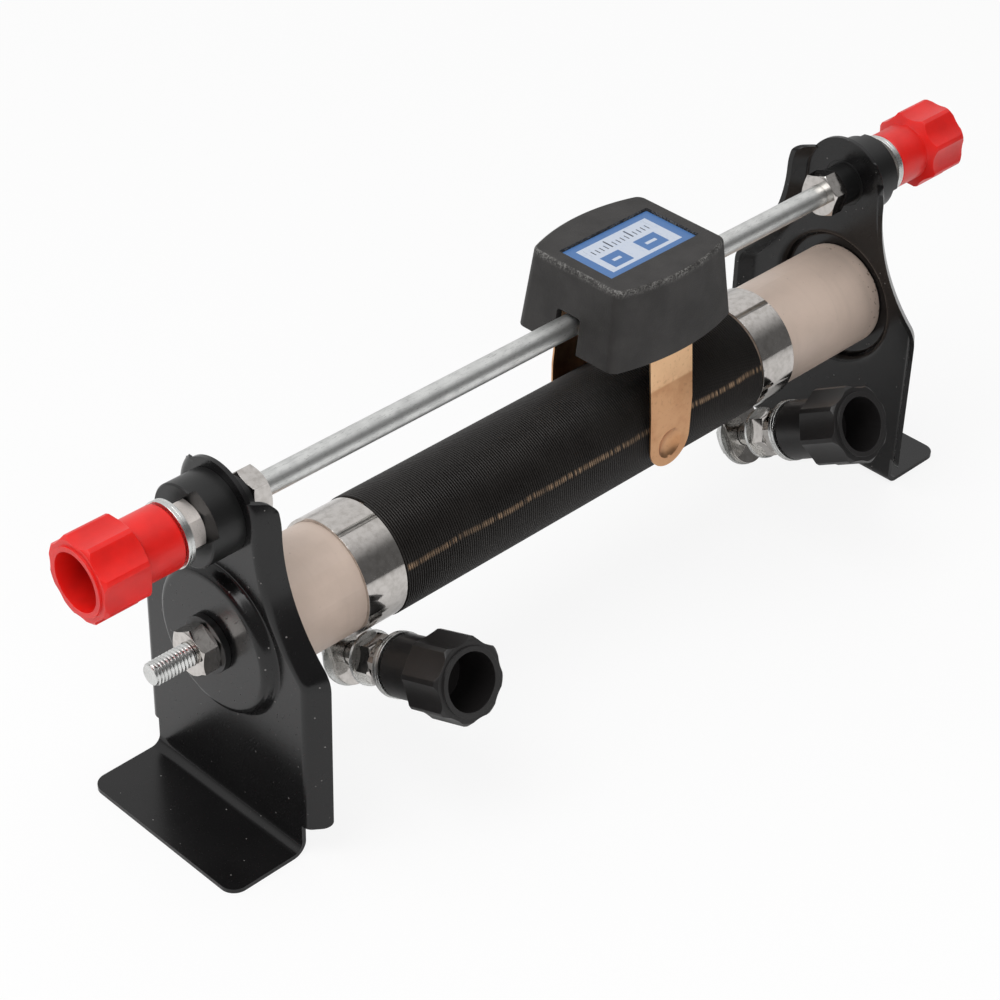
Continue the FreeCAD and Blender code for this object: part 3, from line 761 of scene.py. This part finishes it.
class RHEOSTAT_OT_cut_threads(bpy.types.Operator):
    """Cut the threads of the tie rod and the slide rod"""

    bl_idname = "rheostat.cut_threads"
    bl_label = "Rods"

    def execute(self, context):
        """Model each rod with its threads and plain stretch."""
        sizes = context.scene.rheostat_sizes
        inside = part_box("end_bracket_right")[0].x
        thread_rod("tie_rod", AXIS, sizes.thread_depth / 2, inside, zinc_finish("zinc_threads"), sizes)
        plain_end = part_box("rod_collar_right")[0].x - THREAD_SHOWN
        drawn = zinc_finish("zinc_rod", scratch=(0.16, 1, 1), rough=0.34)
        thread_rod("slide_rod", ROD_AXIS, 0.0, plain_end, drawn, sizes, 64)
        return {"FINISHED"}


class RHEOSTAT_OT_dress_metal(bpy.types.Operator):
    """Soften and plate the brackets, bands, nuts and washers"""

    bl_idname = "rheostat.dress_metal"
    bl_label = "Brackets and hardware"

    def execute(self, context):
        """Give every metal node rounded edges and its plate or paint."""
        edge = context.scene.rheostat_sizes.edge_round
        paint, nickel, zinc = paint_finish(), nickel_finish(), zinc_finish("zinc_plate")
        satin = zinc_finish("satin_zinc", warm=True, rough=0.38, metal=0.45)
        brass = brass_finish()
        for side in SIDES:
            dress_node("end_bracket_" + side, paint, edge, shape=lowered_flange)
            dress_node("clamp_band_" + side, nickel, edge)
            dress_node("clamp_screw_" + side, zinc, edge)
        for node in ("tie_rod_nuts", "rod_inner_nuts", "clamp_nuts", "lock_nuts"):
            dress_node(node, nickel, edge, angle=20)
        dress_node("rod_outer_nuts", satin, edge, angle=20)
        washers = ["rod_fixed_washers", "clamp_fixed_washers", "clamp_washers"]
        washers += [f"{colour}_washer_{side}" for colour in CAP_COLOURS for side in SIDES]
        for node in washers:
            dress_node(node, zinc, edge, 3)
        dress_node("contact_strip", copper_finish(), STRIP_ROUND)
        dress_node("strip_screws", zinc, edge)
        for colour in CAP_COLOURS:
            for side in SIDES:
                dress_node(f"{colour}_insert_{side}", brass, edge)
        return {"FINISHED"}


class RHEOSTAT_OT_dress_mouldings(bpy.types.Operator):
    """Soften and colour the caps, bushes, collars and the slider"""

    bl_idname = "rheostat.dress_mouldings"
    bl_label = "Mouldings and label"

    def execute(self, context):
        """Give every moulded node rounded edges and its plastic."""
        sizes = context.scene.rheostat_sizes
        colours = context.scene.rheostat_colours
        red = moulding_finish("red_moulding", colours.red_moulding, 0.30, 0.03 * MM, 0.06, glow=0.5)
        black = moulding_finish("black_moulding", colours.black_moulding, 0.30, 0.04 * MM, 0.2)
        insulator = moulding_finish("insulator", (0.007, 0.007, 0.007), 0.30, 0.02 * MM, 0.1)
        dress_node("tie_rod_washers", insulator, sizes.edge_round)
        for side in SIDES:
            dress_node("red_cap_" + side, red, sizes.moulded_round, 3, 28)
            dress_node("black_cap_" + side, black, sizes.moulded_round, 3, 28)
            dress_node("rod_bush_" + side, insulator, sizes.edge_round)
            dress_node("rod_collar_" + side, insulator, sizes.edge_round, shape=narrowed_collar)
        dress_node("slider_housing", housing_finish(colours.housing), HOUSING_ROUND, 3, 40)
        dress_node("label_plate", label_finish(colours.label_blue, colours.label_pale), LABEL_ROUND)
        return {"FINISHED"}


def photo_camera():
    """The camera from which the photograph was taken."""
    azimuth, elevation, roll = (math.radians(v) for v in (-45.607, 35.932, 1.592))
    back = Vector((math.sin(azimuth) * math.cos(elevation), -math.cos(azimuth) * math.cos(elevation),
                   math.sin(elevation)))
    right = Vector((math.cos(azimuth), math.sin(azimuth), 0))
    up = back.cross(right)
    tilted_right = math.cos(roll) * right + math.sin(roll) * up
    tilted_up = math.cos(roll) * up - math.sin(roll) * right
    distance, aim_right, aim_up = 688.34 * MM, 14.525 * MM, 13.012 * MM
    place = back * distance - tilted_right * aim_right - tilted_up * aim_up + AXIS
    data = bpy.data.cameras.new("camera")
    data.sensor_width = 36.0
    data.lens = 96.56
    data.clip_start = 0.01
    camera = bpy.data.objects.new("camera", data)
    axes = Matrix((tilted_right, tilted_up, back)).transposed().to_4x4()
    camera.matrix_world = Matrix.Translation(place) @ axes
    bpy.context.scene.collection.objects.link(camera)
    bpy.context.scene.camera = camera


def pale_floor():
    """Floor that the camera sees nearly white, and that keeps the object's shadow."""
    bpy.ops.mesh.primitive_plane_add(size=6.0, location=(0, 0, -0.02 * MM))
    floor = bpy.context.object
    floor.name = "floor"
    finish = Finish("floor")
    finish.set(Base_Color=(0.80, 0.80, 0.80), Roughness=0.7)
    seen = finish.add("ShaderNodeLightPath", output="Is Camera Ray")
    glow = finish.add("ShaderNodeEmission", Color=(1, 1, 1, 1), Strength=1.0)
    surface = Number(finish.tree, finish.shader.outputs[0])
    blend = finish.add("ShaderNodeMixShader", i0=seen * FLOOR_WHITENESS, i1=surface, i2=glow)
    finish.feed(finish.tree.nodes["Material Output"].inputs["Surface"], blend)
    floor.data.materials.append(finish.material)


def studio_world():
    """World with a soft box on one side, white where the camera looks past the floor."""
    world = bpy.data.worlds.new("studio")
    world.use_nodes = True
    bpy.context.scene.world = world
    tree = world.node_tree
    ground = tree.nodes["Background"]
    ground.inputs["Color"].default_value = (1, 1, 1, 1)
    camera_ray = Number(tree, tree.nodes.new("ShaderNodeLightPath").outputs["Is Camera Ray"])
    towards = tree.nodes.new("ShaderNodeVectorMath")
    towards.operation = "DOT_PRODUCT"
    tree.links.new(tree.nodes.new("ShaderNodeTexCoord").outputs["Generated"], towards.inputs[0])
    towards.inputs[1].default_value = SOFTBOX_WAY
    softbox = Number(tree, towards.outputs["Value"]).fade(0.1, 0.7)
    level = (softbox * SOFTBOX_STRENGTH + AROUND_STRENGTH).math("MAXIMUM", camera_ray)
    tree.links.new(level.socket, ground.inputs["Strength"])


def soft_lamp(name, offset, watts, mirrored=True):
    """Square area lamp that points at the tube from some way off; metal may mirror it or not."""
    data = bpy.data.lights.new(name, "AREA")
    data.shape = "SQUARE"
    data.size = LAMP_WIDTH
    data.energy = watts
    lamp = bpy.data.objects.new(name, data)
    lamp.location = AXIS + Vector(offset)
    lamp.rotation_euler = (AXIS - lamp.location).to_track_quat("-Z", "Y").to_euler()
    lamp.visible_glossy = mirrored
    bpy.context.scene.collection.objects.link(lamp)


class RHEOSTAT_OT_set_stage(bpy.types.Operator):
    """Pale floor, soft lamps and the photograph's camera"""

    bl_idname = "rheostat.set_stage"
    bl_label = "Stage"

    def execute(self, context):
        """Make the floor, the world, the lamps and the camera."""
        photo_camera()
        pale_floor()
        studio_world()
        soft_lamp("key", (-0.55, 0.05, 1.0), 7.0)
        soft_lamp("front", (-0.35, -1.0, 0.5), 5.0, mirrored=False)
        return {"FINISHED"}


STEPS = (RHEOSTAT_OT_wind_tube, RHEOSTAT_OT_cut_threads, RHEOSTAT_OT_dress_metal,
         RHEOSTAT_OT_dress_mouldings, RHEOSTAT_OT_set_stage)


class RHEOSTAT_PT_sidebar(bpy.types.Panel):
    """Steps that dress the rheostat, with its sizes and colours"""

    bl_idname = "RHEOSTAT_PT_sidebar"
    bl_label = "Slide Rheostat"
    bl_space_type = "VIEW_3D"
    bl_region_type = "UI"
    bl_category = "Rheostat"

    def draw(self, context):
        """List the sizes, the colours and the steps."""
        for group in (context.scene.rheostat_sizes, context.scene.rheostat_colours):
            for key in group.__annotations__:
                self.layout.prop(group, key)
        for step in STEPS:
            self.layout.operator(step.bl_idname)


CLASSES = (RheostatSizes, RheostatColours, *STEPS, RHEOSTAT_PT_sidebar)


def register():
    """Register the classes and their settings."""
    for cls in CLASSES:
        bpy.utils.register_class(cls)
    bpy.types.Scene.rheostat_sizes = bpy.props.PointerProperty(type=RheostatSizes)
    bpy.types.Scene.rheostat_colours = bpy.props.PointerProperty(type=RheostatColours)


def unregister():
    """Take the classes and their settings away."""
    del bpy.types.Scene.rheostat_colours
    del bpy.types.Scene.rheostat_sizes
    for cls in reversed(CLASSES):
        bpy.utils.unregister_class(cls)


def main():
    """Dress the whole rheostat."""
    register()
    bpy.context.scene.view_settings.view_transform = "Standard"
    bpy.ops.rheostat.wind_tube()
    bpy.ops.rheostat.cut_threads()
    bpy.ops.rheostat.dress_metal()
    bpy.ops.rheostat.dress_mouldings()
    bpy.ops.rheostat.set_stage()


if __name__ == "__main__":
    main()
